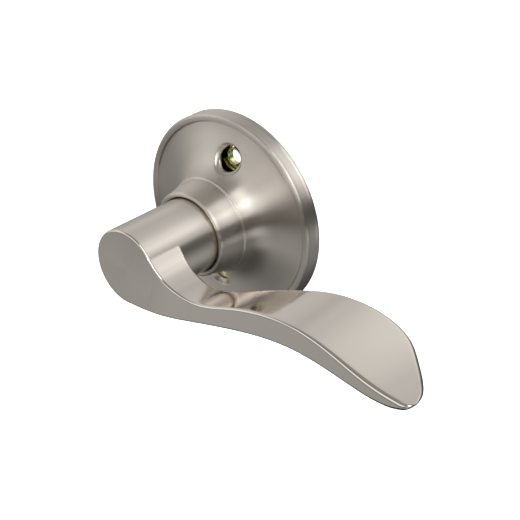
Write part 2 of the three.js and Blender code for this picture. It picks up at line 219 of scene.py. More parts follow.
def rod(name, start, end, radius, segments=48):
    """A plain round bar between two (x, depth, z) points, used as a cutter or a pin's core."""
    a, b = Vector(start), Vector(end)
    axis = (b - a).normalized()
    side = axis.orthogonal().normalized()
    other = axis.cross(side)
    sections = [
        [
            end_point + radius * (math.cos(t) * side + math.sin(t) * other)
            for t in (2 * math.pi * i / segments for i in range(segments))
        ]
        for end_point in (a, b)
    ]
    return lofted(name, sections)


def bar(name, low, high, turn=0.0):
    """A block between two (x, depth, z) corners, turned from +X towards +Z about the spindle axis."""
    (x0, d0, z0), (x1, d1, z1) = low, high
    c, s = math.cos(turn), math.sin(turn)
    sections = [
        [(x * c - z * s, d, x * s + z * c) for x, z in ((x0, z0), (x1, z0), (x1, z1), (x0, z1))]
        for d in (d0, d1)
    ]
    return lofted(name, sections)


def combine(obj, operation, *tools):
    """Applies a boolean with each tool in turn, and removes the tools."""
    for tool in tools:
        modifier = obj.modifiers.new("cut", "BOOLEAN")
        modifier.operation, modifier.object, modifier.solver = operation, tool, "MANIFOLD"
        bpy.context.view_layer.update()
        made = bpy.data.meshes.new_from_object(obj.evaluated_get(bpy.context.evaluated_depsgraph_get()))
        obj.modifiers.clear()
        obj.data = made
        bpy.data.objects.remove(tool)
    clean(obj)
    return obj


def tube_along(name, path, radius, sides=12):
    """A round wire along a smooth path of (x, depth, z) points, with its ends rounded over."""
    p = np.array(path, float)
    tangents = np.gradient(p, axis=0)
    tangents /= np.linalg.norm(tangents, axis=1)[:, None]
    side = Vector(tangents[0]).orthogonal().normalized()
    ends = ((-0.6, 0.55), (-0.25, 0.9))
    sections = []

    def ring(centre, tangent, r):
        other = Vector(tangent).cross(side)
        return [
            Vector(centre) + r * (math.cos(t) * side + math.sin(t) * other)
            for t in (2 * math.pi * i / sides for i in range(sides))
        ]

    for i, (centre, tangent) in enumerate(zip(p, tangents)):
        side = (side - side.dot(Vector(tangent)) * Vector(tangent)).normalized()
        if i == 0:
            sections += [ring(centre + k * radius * tangent, tangent, s * radius) for k, s in ends]
        sections.append(ring(centre, tangent, radius))
        if i == len(p) - 1:
            sections += [
                ring(centre - k * radius * tangent, tangent, s * radius) for k, s in reversed(ends)
            ]
    uvs = [[(j / sides, i / 40) for j in range(sides)] for i in range(len(sections))]
    return lofted(name, sections, uvs=uvs, sharp_angle=60)


# ---------------------------------------------------------------- rose

ROSE_SEGMENTS = 192
PATCH_COLUMNS = 24  # columns of the face that each screw opening's patch takes up
PATCH_OUTER_RADIUS = 28
PLATE_CLEARANCE_DEPTH = 3.8  # the opening's wall goes no further back than this
# Rear edge, side wall, crest, raised border and the groove inside it
ROSE_BORDER = [
    (33.26, 0.05), (33.26, 0.3), (33.26, 0.6), (33.2, 0.85), (33.06, 1.1), (32.98, 1.4),
    (32.96, 1.8), (32.96, 4.1), (33.03, 4.35), (33.22, 4.65), (33.24, 4.95), (33.1, 5.25), (32.8, 5.45),
    (32.3, 5.56), (31.8, 5.54), (31.3, 5.48), (31.08, 5.41), (30.95, 5.27), (30.86, 5.0),
    (30.76, 4.86), (30.63, 4.88), (30.54, 5.02), (30.4, 5.07), (30.1, 5.1),
]  # fmt: skip
# Face from the groove up the flare to the collar, as (radius, depth)
ROSE_FACE = [
    (30.1, 5.1), (28.2, 5.38), (26.5, 5.75), (23.0, 6.7), (20.0, 7.85), (17.9, 9.35),
    (16.5, 11.3), (15.8, 13.3),
]  # fmt: skip
ROSE_COLLAR = [
    (15.8, 13.3), (15.78, 13.58), (15.68, 13.84), (15.48, 13.97), (15.28, 14.06), (15.17, 14.25),
    (15.12, 14.6), (14.6, 17.6), (14.0, 20.7), (13.92, 21.4), (13.85, 21.95), (13.65, 22.37),
    (13.3, 22.6), (12.9, 22.64), (12.5, 22.52), (12.28, 22.2), (12.22, 21.7), (12.22, 21.0),
]  # fmt: skip
SCREW_OPENING_RADIUS = 4.0
DIMPLE_RADIUS = 5.15
DIMPLE_DEPTH = 6.3  # of the opening's edge, on the screw's axis
DIMPLE_TILT = 0.45  # how fast the opening's edge rises towards the spindle
DIMPLE_HOLLOWNESS = 1.7  # above 1, the dimple is flatter by the opening and steeper at its rim
# Changes on the side towards the spindle: a smaller opening, a raised edge, a narrower dimple
HUBWARD_OPENING = 0.4
HUBWARD_RISE = 0.95
HUBWARD_NARROWING = 1.15
# The skin is thin this near a screw's axis, and has its full thickness from there outwards
THIN_SKIN_RADIUS = 6.0
FULL_SKIN_RADIUS = 8.5


def dimple(outward):
    """Radius and depth of a screw opening's edge, and where its dimple meets the face.

    outward is 1 on the side away from the spindle and -1 on the side towards it, where the
    face rises steeply and the dimple is narrow.
    """
    hubward = max(0.0, -outward) ** 2
    radius = SCREW_OPENING_RADIUS - HUBWARD_OPENING * hubward
    depth = DIMPLE_DEPTH - DIMPLE_TILT * outward * SCREW_OPENING_RADIUS + HUBWARD_RISE * hubward
    return radius, depth, DIMPLE_RADIUS - HUBWARD_NARROWING * hubward


def face_depth(x, z, curve):
    """Depth of the rose's face, with a dimple sunk round each screw opening."""
    depth = np.interp(np.hypot(x, z), curve[::-1, 0], curve[::-1, 1])
    for cx, cz in SCREW_PLACES:
        dx, dz = x - cx, z - cz
        s = np.hypot(dx, dz)
        outward = (dx * cx + dz * cz) / (max(s, 1e-9) * SCREW_CIRCLE_RADIUS)
        radius, edge, rim = dimple(outward)
        if s < rim:
            share = max(0.0, (s - radius) / (rim - radius))
            depth = edge + (depth - edge) * share**DIMPLE_HOLLOWNESS
    return depth


def rose_cover():
    curve = spline(ROSE_FACE, 400)
    first = math.pi / 2 - SCREW_LINE_TILT - PATCH_COLUMNS // 2 * 2 * math.pi / ROSE_SEGMENTS
    points, faces, index = [], [], {}

    def vertex(x, depth, z):
        key = (round(x, 5), round(depth, 5), round(z, 5))
        if key not in index:
            index[key] = len(points)
            points.append((x, depth, z))
        return index[key]

    def at(j, radius, depth):
        angle = first + 2 * math.pi * (j % ROSE_SEGMENTS) / ROSE_SEGMENTS
        return vertex(radius * math.cos(angle), depth, radius * math.sin(angle))

    def lathe(path):
        for (r0, d0), (r1, d1) in zip(path, path[1:]):
            for j in range(ROSE_SEGMENTS):
                faces.append((at(j, r0, d0), at(j + 1, r0, d0), at(j + 1, r1, d1), at(j, r1, d1)))

    def on_face(x, z):
        return vertex(x, float(face_depth(x, z, curve)), z)

    def face_at(j, radius):
        angle = first + 2 * math.pi * (j % ROSE_SEGMENTS) / ROSE_SEGMENTS
        return on_face(radius * math.cos(angle), radius * math.sin(angle))

    lathe(spline(ROSE_BORDER, 130))
    stations = spline(ROSE_FACE, 34)
    stations[0], stations[-1] = ROSE_FACE[0], ROSE_FACE[-1]
    radii = [float(r) for r, _ in stations]
    outer = next(i for i, r in enumerate(radii) if r < PATCH_OUTER_RADIUS)
    last = len(radii) - 1
    for i in range(last):
        for j in range(ROSE_SEGMENTS):
            if i >= outer and j % (ROSE_SEGMENTS // 2) < PATCH_COLUMNS:
                continue
            faces.append(
                (face_at(j, radii[i]), face_at(j + 1, radii[i]), face_at(j + 1, radii[i + 1]),
                 face_at(j, radii[i + 1]))
            )  # fmt: skip
    for k, centre in enumerate(SCREW_PLACES):
        j0 = k * ROSE_SEGMENTS // 2
        edge = [(j0 + j, radii[outer]) for j in range(PATCH_COLUMNS)]
        edge += [(j0 + PATCH_COLUMNS, radii[i]) for i in range(outer, last)]
        edge += [(j0 + j, radii[last]) for j in range(PATCH_COLUMNS, 0, -1)]
        edge += [(j0, radii[i]) for i in range(last, outer, -1)]
        patch_round_opening(centre, edge, first, on_face, vertex, faces)
    collar = spline(ROSE_COLLAR, 90)
    collar[0] = ROSE_FACE[-1]
    lathe(collar)
    obj = new_piece("rose_shell", points, faces, sharp_angle=80)
    full = obj.vertex_groups.new(name="full_thickness")
    for v in obj.data.vertices:
        x, z = v.co.x / MM, v.co.z / MM
        near = min(math.hypot(x - cx, z - cz) for cx, cz in SCREW_PLACES)
        full.add([v.index], float(smoothstep(THIN_SKIN_RADIUS, FULL_SKIN_RADIUS, near)), "REPLACE")
    skin = obj.modifiers.new("skin", "SOLIDIFY")
    skin.thickness, skin.offset = SKIN * MM, -1
    skin.vertex_group, skin.thickness_vertex_group = full.name, 0.15
    return obj


def patch_round_opening(centre, edge, first, on_face, vertex, faces):
    """Rings of faces from the round opening out to the edge of its patch of the face."""
    rows = []
    for j, radius in edge:
        angle = first + 2 * math.pi * (j % ROSE_SEGMENTS) / ROSE_SEGMENTS
        bx, bz = radius * math.cos(angle), radius * math.sin(angle)
        reach = math.hypot(bx - centre[0], bz - centre[1])
        ux, uz = (bx - centre[0]) / reach, (bz - centre[1]) / reach
        outward = (ux * centre[0] + uz * centre[1]) / SCREW_CIRCLE_RADIUS
        opening, edge_depth, rim = dimple(outward)
        steps = list(np.linspace(opening, rim, 13)) + list(np.linspace(rim, reach, 12)[1:])
        wall = max(edge_depth - SKIN, PLATE_CLEARANCE_DEPTH)
        row = [vertex(centre[0] + opening * ux, wall, centre[1] + opening * uz)]
        row += [on_face(centre[0] + s * ux, centre[1] + s * uz) for s in steps[:-1]]
        row.append(on_face(bx, bz))
        rows.append(row)
    for i, row in enumerate(rows):
        other = rows[(i + 1) % len(rows)]
        for a, b, c, d in zip(row, row[1:], other[1:], other):
            faces.append((a, b, c, d))


def collar_bushing():
    return turned(
        "collar_bushing_ring", [(12.15, 16.2), (13.4, 16.2), (12.6, 19.8), (12.15, 19.8)], 0.15
    )


# ---------------------------------------------------------------- plate, ferrules, cage, rivets


def mounting_plate():
    pan = turned(
        "mounting_plate_pan",
        [(9.2, 2.4), (30.4, 2.4, 0.5), (30.4, 0.3, 0.2), (31.6, 0.3, 0.2), (31.6, 3.6, 0.9), (9.2, 3.6)],
        0.12,
        192,
    )
    cutters = [rod("hole", (x, 1, z), (x, 5, z), 3.25) for x, z in SCREW_PLACES]
    cutters += [rod("hole", (x, 1, z), (x, 5, z), 1.45) for x, z in RIVET_PLACES]
    cutters.append(rod("hole", (-SPRING_RADIUS, 1, -0.3), (-SPRING_RADIUS, 5, -0.3), 1.4))
    return combine(pan, "DIFFERENCE", *cutters)


def screw_ferrule(name, place):
    return turned(
        name,
        [(2.3, 2.4, 0.1), (2.98, 2.4, 0.1), (2.98, 4.4, 0.28), (2.62, 4.4, 0.1), (2.3, 4.1, 0.1)],
        0.1, 64, place,
    )  # fmt: skip


def spring_cage():
    cup = turned(
        "spring_cage_cup",
        [(12.7, 3.9, 0.3), (19.2, 3.9, 0.2), (19.2, 4.9, 0.2), (13.7, 4.9, 0.4), (13.7, 14.2, 1.2),
         (9.2, 14.2, 0.1), (9.2, 13.2, 0.1), (12.7, 13.2, 0.4)],
        0.2, 160,
    )  # fmt: skip
    stops = [
        bar("stop", (11.35, CAM_REAR - 0.6, -1.2), (13.2, 13.7, 1.2),
            math.pi / 2 + side * (TURN_LIMIT + 0.37))
        for side in (1, -1)
    ]  # fmt: skip
    combine(cup, "UNION", *stops)
    cutters = [rod("hole", (x, 1, z), (x, 8, z), 4.2) for x, z in SCREW_PLACES]
    cutters += [rod("hole", (x, 1, z), (x, 8, z), 1.45) for x, z in RIVET_PLACES]
    return combine(cup, "DIFFERENCE", *cutters)


def cage_rivet(name, place):
    return turned(
        name,
        [(0.01, 1.5, 0), (1.2, 1.5, 0.3), (1.88, 1.75, 0.15), (1.88, 2.1, 0.05), (1.2, 2.1, 0.05),
         (1.2, 5.2, 0.05), (1.88, 5.2, 0.05), (1.88, 5.5, 0.15), (1.1, 5.88, 0.3), (0.01, 5.9, 0)],
        0.1, 40, place,
    )  # fmt: skip


# ---------------------------------------------------------------- bearings, tube, cam, springs


def rear_bush():
    return turned(
        "rear_bush_ring", [(8, 1.65), (11.4, 1.65), (11.4, 2.15), (8.9, 2.15), (8.9, 4.2), (8, 4.2)]
    )


def front_bush():
    return turned(
        "front_bush_ring", [(8, 13), (8.9, 13), (8.9, 14.45), (11.5, 14.45), (11.5, 15.2), (8, 15.2)]
    )


def spring_washer():
    return turned("spring_washer_ring", [(8, 1.25), (10, 1.25), (10, 1.45), (8, 1.45)], 0.04)


def retaining_ring():
    clip = turned("retaining_ring_clip", [(7.3, 0.5), (9.8, 0.5), (9.8, 1.1), (7.3, 1.1)], 0.08)
    gap = bar("gap", (-3, 0, -12), (3, 2, -5))
    eyes = [rod("eye", (side * 4.6, 0, -7.25), (side * 4.6, 2, -7.25), 0.6, 24) for side in (1, -1)]
    return combine(clip, "DIFFERENCE", gap, *eyes)


def spindle_tube():
    tube = turned(
        "spindle_tube_barrel",
        [(6.35, 0.2), (7.85, 0.2, 0.1), (7.85, 0.35, 0), (7.1, 0.35, 0), (7.1, 1.2, 0), (7.85, 1.2, 0.1),
         (7.85, 43, 0.3), (6.35, 43, 0.2)],
        0.1,
    )  # fmt: skip
    cutters = [
        bar("slot", (-1.5, 34, 5), (1.5, 45, 12)),
        rod("window", (0, CATCH_DEPTH, -9), (0, CATCH_DEPTH, -4), 2),
        rod("pin_hole", (0, 16.5, -9), (0, 16.5, 9), 1.45, 32),
    ]
    cutters += [bar("notch", (7.1, 11.1, -1.4), (9, 13.1, 1.4), turn) for turn in (0, math.pi)]
    return combine(tube, "DIFFERENCE", *cutters)


def spindle_socket():
    plug = turned("spindle_socket_plug", [(0.01, 0.6, 0), (6.1, 0.6), (6.1, 20), (0.01, 20, 0)], 0.25)
    drive = rod("drive", (0, -1, 0), (0, 18, 0), 4.6, 64)
    combine(drive, "DIFFERENCE", bar("flat", (-6, -2, -6), (6, 19, -1)))
    return combine(plug, "DIFFERENCE", drive, rod("pin_hole", (0, 16.5, -8), (0, 16.5, 8), 1.45, 32))


def pin_up(name, depth, outline, segments=48):
    """A turned piece that stands along Z at that depth, from (radius, z) points."""
    path = rounded(outline, 0.15)
    sections = [
        [
            (r * math.cos(t), depth + r * math.sin(t), z)
            for t in (2 * math.pi * i / segments for i in range(segments))
        ]
        for r, z in path
    ]
    return lofted(name, sections)


def socket_pin():
    return pin_up("socket_pin_roll", 16.5, [(0.02, -7.6, 0), (1.2, -7.6), (1.2, 7.6), (0.02, 7.6, 0)], 32)


def lever_catch():
    return pin_up(
        "lever_catch_button", CATCH_DEPTH,
        [(0.02, -10.9, 0), (1.1, -10.9, 0.4), (1.7, -10.3, 0.3), (1.7, -5.1, 0.1), (2.9, -5.1, 0.15),
         (2.9, -4.1, 0.15), (0.02, -4.1, 0)],
    )  # fmt: skip


def drive_cam():
    bore = TUBE_RADIUS + 0.3
    cam = turned(
        "drive_cam_plate", [(bore, CAM_REAR), (9.4, CAM_REAR), (9.4, CAM_FRONT), (bore, CAM_FRONT)], 0.08
    )
    lug = bar("lug", (bore + 0.4, CAM_REAR, -2.8), (12.05, CAM_FRONT, 2.8), math.pi / 2)
    tangs = [bar("tang", (7.4, CAM_REAR, -1.1), (8.8, CAM_FRONT, 1.1), turn) for turn in (0, math.pi)]
    combine(cam, "UNION", lug, *tangs)
    return combine(cam, "DIFFERENCE", rod("eye", (0.3, 10, 10.4), (0.3, 14, 10.4), 1.1, 32))


def return_spring():
    turns, steps = 3.25, 36
    rear, front = 4.75, 10.25
    coil = []
    for i in range(int(turns * steps) + 1):
        share = i / (turns * steps)
        angle = math.pi / 2 + (1 - share) * turns * 2 * math.pi
        depth = rear + share * (front - rear)
        coil.append((SPRING_RADIUS * math.cos(angle), depth, SPRING_RADIUS * math.sin(angle)))
    legs_in = [(-SPRING_RADIUS, 2.75, -0.3), (-SPRING_RADIUS, 3.4, -0.3), (-SPRING_RADIUS, 4.2, -0.2)]
    legs_out = [(0.2, 10.8, SPRING_RADIUS), (0.3, 11.6, SPRING_RADIUS), (0.3, 12.5, SPRING_RADIUS)]
    path = spline(legs_in + coil + legs_out, 330)
    return tube_along("return_spring_coil", path, SPRING_WIRE_RADIUS, 14)


def catch_spring():
    turns, steps = 5, 24
    low, high = -3.45, 5.4
    path = []
    for i in range(turns * steps + 1):
        angle = 2 * math.pi * i / steps
        share = smoothstep(0.0, 1.0, i / (turns * steps)) * 0.25 + 0.75 * i / (turns * steps)
        path.append(
            (2.1 * math.cos(angle), CATCH_DEPTH - 2.1 * math.sin(angle), low + share * (high - low))
        )
    return tube_along("catch_spring_coil", path, 0.35, 10)


# ---------------------------------------------------------------- lever

WAVE_TOP = [
    (9.8, 6.8), (15.2, 1.6), (21, -0.5), (29, -0.9), (40.5, 2.4), (51, 5.1), (62, 6.1), (74, 4.2),
    (85, 0.6), (92, -1.2), (98, -2.0), (104, -2.4),
]  # fmt: skip
WAVE_BOTTOM = [
    (-2, -11.9), (3, -11.9), (13.8, -11), (26.9, -8), (39.3, -4.9), (51.2, -2.5), (62.7, -1.5),
    (73.6, -2.5), (84.3, -4.6), (91, -5.55), (95.5, -5.5), (98.5, -4.9), (100.9, -3.9), (102.4, -3.0),
]  # fmt: skip
# Plan outline of the paddle as (x, depth): its tip from the straight front edge round to the back
PADDLE_FRONT = [(96, 49.4), (99.2, 49.4), (100.9, 49.05), (101.9, 48.1), (102.3, 47), (102.4, 46)]
PADDLE_BACK = [
    (102.4, 46), (101.6, 43.1), (99.9, 39.7), (96.5, 35.4), (91, 29.9), (86.4, 26.3), (80, 24.6), (72, 25.4),
    (60, 29), (50, 33.4), (40, 36.8), (30, 38.4), (20, 38.4), (11, 36.8), (-2, 36.4),
]  # fmt: skip
LEVER_TIP = 102.4
# Inside the hub the arm's top is a straight line, from this height on the axis to the wave's start
HUB_CROSSING = 3
HUB_SLOPE = 0.3878


def plan_outline(columns):
    """Front and back outline points, with inward normals, at the same x for each column."""
    front = np.vstack([[(-2, LEVER_FRONT)], spline(PADDLE_FRONT, 80)])
    back = spline(PADDLE_BACK, 300)[::-1]
    sides = []
    for path in (front, back):
        depth = np.minimum(np.interp(columns, path[:, 0], path[:, 1]), LEVER_FRONT)
        sides.append(np.c_[columns, depth])
    loop = np.vstack([sides[0], sides[1][-2::-1]])
    tangent = np.gradient(loop, axis=0)
    tangent /= np.linalg.norm(tangent, axis=1)[:, None]
    normal = np.c_[tangent[:, 1], -tangent[:, 0]]
    n = len(columns)
    normals = [normal[:n], normal[n - 1 :][::-1]]
    return list(zip(sides, normals))


def arm():
    """The wave arm as closed sections, with rounded edges that grow towards the paddle."""
    start, knee = -2.0, 84.0
    columns = np.r_[
        np.linspace(start, knee, 96)[:-1],
        LEVER_TIP - (LEVER_TIP - knee) * (1 - np.sin(np.linspace(0, math.pi / 2, 44))),
    ]
    top, bottom = spline(WAVE_TOP, 400), spline(WAVE_BOTTOM, 400)
    (front, front_in), (back, back_in) = plan_outline(columns)

    def height(x, upper):
        if upper:
            inside = HUB_CROSSING + x * HUB_SLOPE
            outside = np.interp(x, top[:, 0], top[:, 1])
            return np.where(x < WAVE_TOP[0][0], np.minimum(inside, WAVE_TOP[0][1]), outside)
        return np.interp(x, bottom[:, 0], bottom[:, 1])

    def corner(edge, inward, radius, upper):
        rows = []
        for phi in np.linspace(0, math.pi / 2, 7):
            shift = radius * (1 - math.cos(phi))
            q = edge + inward * shift[:, None]
            drop = radius * (1 - math.sin(phi))
            z = height(q[:, 0], upper)
            rows.append(np.c_[q, z - drop if upper else z + drop])
        return rows

    growth = smoothstep(58, 92, columns)
    limit = 0.44 * (height(columns, True) - height(columns, False))
    front_radius = np.minimum(0.7 + 0.45 * growth, limit)
    back_radius = np.minimum(0.9 + 0.4 * growth, limit)
    rows = corner(front, front_in, front_radius, True)
    back_rows = corner(back, back_in, back_radius, True)
    rows += across(rows[-1], back_rows[-1], lambda x: height(x, True), 18)
    rows += back_rows[::-1]
    low_back = corner(back, back_in, back_radius, False)
    low_front = corner(front, front_in, front_radius, False)
    rows += low_back
    rows += across(low_back[-1], low_front[-1], lambda x: height(x, False), 12)
    rows += low_front[::-1]
    around = len(rows)
    sections = [[tuple(rows[j][i]) for j in range(around)] for i in range(len(columns))]
    uvs = [[(columns[i] / 100, j / around) for j in range(around)] for i in range(len(columns))]
    return lofted("arm", sections, uvs=uvs)


def across(edge_a, edge_b, height, count):
    """Rows of points between two edges, lifted on to the wave."""
    rows = []
    for share in np.linspace(0, 1, count + 2)[1:-1]:
        q = edge_a * (1 - share) + edge_b * share
        rows.append(np.c_[q[:, :2], height(q[:, 0])])
    return rows


def lever_handle():
    hub = turned(
        "lever_body",
        [(0.01, SHANK_REAR, 0), (SHANK_RADIUS, SHANK_REAR, 0.4), (SHANK_RADIUS, LEVER_FRONT, 0.75),
         (0.01, LEVER_FRONT, 0)],
        0.5, 192,
    )  # fmt: skip
    combine(hub, "UNION", arm())
    bore = rod("bore", (0, SHANK_REAR - 1, 0), (0, SHANK_BORE_END, 0), SHANK_BORE_RADIUS, 96)
    release = rod("release", (0, CATCH_DEPTH, -14), (0, CATCH_DEPTH, -6.35), 2.05, 48)
    combine(hub, "DIFFERENCE", bore, release)
    key = bar("key", (-1.1, 36, SHANK_BORE_RADIUS - 1.4), (1.1, 45, SHANK_BORE_RADIUS + 0.4))
    combine(hub, "UNION", key)
    even = hub.modifiers.new("even", "WEIGHTED_NORMAL")
    even.keep_sharp = True
    return hub


# ---------------------------------------------------------------- materials

ANGLE_STRETCH = 0.0015  # metres per radian, so that turning marks run long round the axis


class Shader:
    """A Principled material with short helpers for its nodes."""

    def __init__(self, name, color, roughness, metallic=1.0, **sockets):
        self.material = bpy.data.materials.new(name)
        self.material.use_nodes = True
        self.tree = self.material.node_tree
        self.bsdf = self.tree.nodes["Principled BSDF"]
        self.set("Base Color", (*color, 1))
        self.set("Roughness", roughness)
        self.set("Metallic", metallic)
        for socket, value in sockets.items():
            self.set(socket.replace("_", " "), value)

    def set(self, socket, value):
        self.bsdf.inputs[socket].default_value = value

    def node(self, kind, **settings):
        made = self.tree.nodes.new(kind)
        for key, value in settings.items():
            setattr(made, key, value)
        return made

    def link(self, source, target):
        self.tree.links.new(source, target)

    def math(self, operation, a, b=None, clamp=False):
        made = self.node("ShaderNodeMath", operation=operation, use_clamp=clamp)
        for socket, value in zip(made.inputs, (a, b)):
            if value is None:
                continue
            if isinstance(value, (int, float)):
                socket.default_value = value
            else:
                self.link(value, socket)
        return made.outputs[0]

    def position(self):
        return self.node("ShaderNodeTexCoord").outputs["Object"]

    def noise(self, vector, scale, detail=3.0, roughness=0.5):
        made = self.node("ShaderNodeTexNoise")
        made.inputs["Scale"].default_value = scale
        made.inputs["Detail"].default_value = detail
        made.inputs["Roughness"].default_value = roughness
        self.link(vector, made.inputs["Vector"])
        return made.outputs["Fac"]

    def stretched(self, vector, scale):
        made = self.node("ShaderNodeMapping")
        made.inputs["Scale"].default_value = scale
        self.link(vector, made.inputs["Vector"])
        return made.outputs["Vector"]

    def round_axis(self):
        """(radius, angle, depth) round the spindle axis, for marks left by turning."""
        split = self.node("ShaderNodeSeparateXYZ")
        self.link(self.position(), split.inputs[0])
        x, y, z = split.outputs
        radius = self.math("SQRT", self.math("ADD", self.math("MULTIPLY", x, x), self.math("MULTIPLY", z, z)))
        angle = self.math("MULTIPLY", self.math("ABSOLUTE", self.math("ARCTAN2", x, z)), ANGLE_STRETCH)
        join = self.node("ShaderNodeCombineXYZ")
        for source, target in zip((radius, angle, y), join.inputs):
            self.link(source, target)
        return join.outputs[0]

    def ramp(self, factor, stops):
        made = self.node("ShaderNodeValToRGB")
        elements = made.color_ramp.elements
        while len(elements) < len(stops):
            elements.new(0.5)
        for element, (place, color) in zip(elements, stops):
            element.position, element.color = place, (*color, 1)
        self.link(factor, made.inputs["Fac"])
        return made.outputs["Color"]

    def spread(self, factor, low, high):
        made = self.node("ShaderNodeMapRange")
        made.inputs["To Min"].default_value, made.inputs["To Max"].default_value = low, high
        self.link(factor, made.inputs["Value"])
        return made.outputs["Result"]

    def bump(self, height, distance, strength=1.0):
        made = self.node("ShaderNodeBump")
        made.inputs["Distance"].default_value = distance
        made.inputs["Strength"].default_value = strength
        self.link(height, made.inputs["Height"])
        self.link(made.outputs["Normal"], self.bsdf.inputs["Normal"])

    def tangent(self, **settings):
        made = self.node("ShaderNodeTangent", **settings)
        self.link(made.outputs[0], self.bsdf.inputs["Tangent"])


NICKEL = (0.655, 0.605, 0.545)


def turned_nickel():
    s = Shader("satin_nickel_turned", NICKEL, 0.38, Anisotropic=0.97, Anisotropic_Rotation=0.25)
    s.tangent(direction_type="RADIAL", axis="Y")
    marks = s.noise(s.round_axis(), 2600, 2.0, 0.65)
    s.link(s.spread(marks, 0.35, 0.41), s.bsdf.inputs["Roughness"])
    s.bump(marks, 0.000001, 0.18)
    return s.material


def brushed_nickel():
    s = Shader("satin_nickel_brushed", NICKEL, 0.1, Anisotropic=0.5, Anisotropic_Rotation=0.25)
    s.tangent(direction_type="UV_MAP", uv_map="brushing")
    marks = s.noise(s.stretched(s.position(), (60, 2500, 2500)), 1.0, 2.0, 0.6)
    split = s.node("ShaderNodeSeparateXYZ")
    s.link(s.position(), split.inputs[0])
    along = s.node("ShaderNodeMapRange", interpolation_type="SMOOTHSTEP")
    along.inputs["From Min"].default_value, along.inputs["From Max"].default_value = 0.008, 0.02
    along.inputs["To Min"].default_value, along.inputs["To Max"].default_value = 0.22, 0.1
    s.link(split.outputs[0], along.inputs["Value"])
    s.link(s.math("ADD", along.outputs[0], s.spread(marks, -0.02, 0.02)), s.bsdf.inputs["Roughness"])
    s.bump(marks, 0.000001, 0.3)
    return s.material


def yellow_zinc():
    s = Shader("yellow_zinc_passivate", (0.72, 0.62, 0.3), 0.15)
    film = s.noise(s.position(), 420, 2.0)
    colors = [
        (0.28, (0.48, 0.64, 0.3)), (0.48, (0.62, 0.67, 0.33)), (0.6, (0.78, 0.69, 0.38)),
        (0.78, (0.8, 0.6, 0.44)),
    ]  # fmt: skip
    s.link(s.ramp(film, colors), s.bsdf.inputs["Base Color"])
    grain = s.noise(s.position(), 3000, 3.0)
    s.link(s.spread(grain, 0.08, 0.22), s.bsdf.inputs["Roughness"])
    s.bump(grain, 0.000004, 0.4)
    return s.material


def bright_zinc():
    s = Shader("bright_zinc_plate", (0.66, 0.67, 0.69), 0.3)
    cloud = s.noise(s.position(), 350, 4.0)
    s.link(s.ramp(cloud, [(0.3, (0.55, 0.56, 0.58)), (0.7, (0.74, 0.75, 0.78))]), s.bsdf.inputs["Base Color"])
    marks = s.noise(s.round_axis(), 3000, 2.0)
    s.link(s.spread(marks, 0.22, 0.42), s.bsdf.inputs["Roughness"])
    s.bump(marks, 0.000008, 0.5)
    return s.material


def spring_steel():
    s = Shader("oiled_spring_steel", (0.3, 0.3, 0.32), 0.32)
    cloud = s.noise(s.position(), 600, 3.0)
    s.link(s.ramp(cloud, [(0.3, (0.2, 0.2, 0.22)), (0.7, (0.4, 0.4, 0.43))]), s.bsdf.inputs["Base Color"])
    s.link(s.spread(cloud, 0.22, 0.45), s.bsdf.inputs["Roughness"])
    s.bump(s.noise(s.position(), 4000, 2.0), 0.000008, 0.4)
    return s.material


def nylon():
    s = Shader("black_nylon", (0.022, 0.022, 0.024), 0.5, metallic=0.0)
    grain = s.noise(s.position(), 2500, 4.0)
    s.link(s.spread(grain, 0.38, 0.6), s.bsdf.inputs["Roughness"])
    s.bump(grain, 0.00002, 0.4)
    return s.material


# ---------------------------------------------------------------- stage


# The photo's view: degrees from the front, up and rolled; metres for the distance and the aim
VIEW_AZIMUTH = 41.69
VIEW_ELEVATION = 29.43
VIEW_ROLL = -0.56
VIEW_DISTANCE = 0.42087
VIEW_AIM_RIGHT = 0.00689
VIEW_AIM_DOWN = 0.0161
LENS_MM = 91.85
FLOOR_HALF_SIZE = 6.0
FLOOR_HEIGHT = -0.35


def direction(azimuth, elevation):
    """Towards an azimuth and elevation in degrees, turned from the front (-Y) towards +X."""
    a, e = math.radians(azimuth), math.radians(elevation)
    return (math.sin(a) * math.cos(e), -math.cos(a) * math.cos(e), math.sin(e))


def camera():
    """The view: turned 41.7 degrees from the front and raised 29.4 degrees."""
    roll = math.radians(VIEW_ROLL)
    back = Vector(direction(VIEW_AZIMUTH, VIEW_ELEVATION))
    right = (-back).cross(Vector((0, 0, 1))).normalized()
    up = right.cross(-back)
    right, up = (
        math.cos(roll) * right + math.sin(roll) * up,
        math.cos(roll) * up - math.sin(roll) * right,
    )
    aim = right * VIEW_AIM_RIGHT - up * VIEW_AIM_DOWN
    data = bpy.data.cameras.new("view")
    data.lens, data.sensor_width = LENS_MM, 36
    data.clip_start, data.clip_end = 0.01, 50
    data.dof.use_dof = False
    obj = bpy.data.objects.new("view", data)
    bpy.context.scene.collection.objects.link(obj)
    turn = Matrix((right, up, back)).transposed().to_4x4()
    obj.matrix_world = Matrix.Translation(aim + back * VIEW_DISTANCE) @ turn
    bpy.context.scene.camera = obj


def floor():
    mesh = bpy.data.meshes.new("floor")
    size = FLOOR_HALF_SIZE
    corners = [(x, y, FLOOR_HEIGHT) for x, y in ((-size, -size), (size, -size), (size, size), (-size, size))]
    mesh.from_pydata(corners, [], [(0, 1, 2, 3)])
    obj = bpy.data.objects.new("floor", mesh)
    bpy.context.scene.collection.objects.link(obj)
    s = Shader("pale_floor", (0.92, 0.92, 0.92), 0.9, metallic=0.0)
    grain = s.noise(s.position(), 30, 2.0)
    s.link(s.spread(grain, 0.85, 0.95), s.bsdf.inputs["Roughness"])
    s.set("Emission Color", (1, 1, 1, 1))
    s.set("Emission Strength", 0.9)
    mesh.materials.append(s.material)
    obj.visible_glossy = False


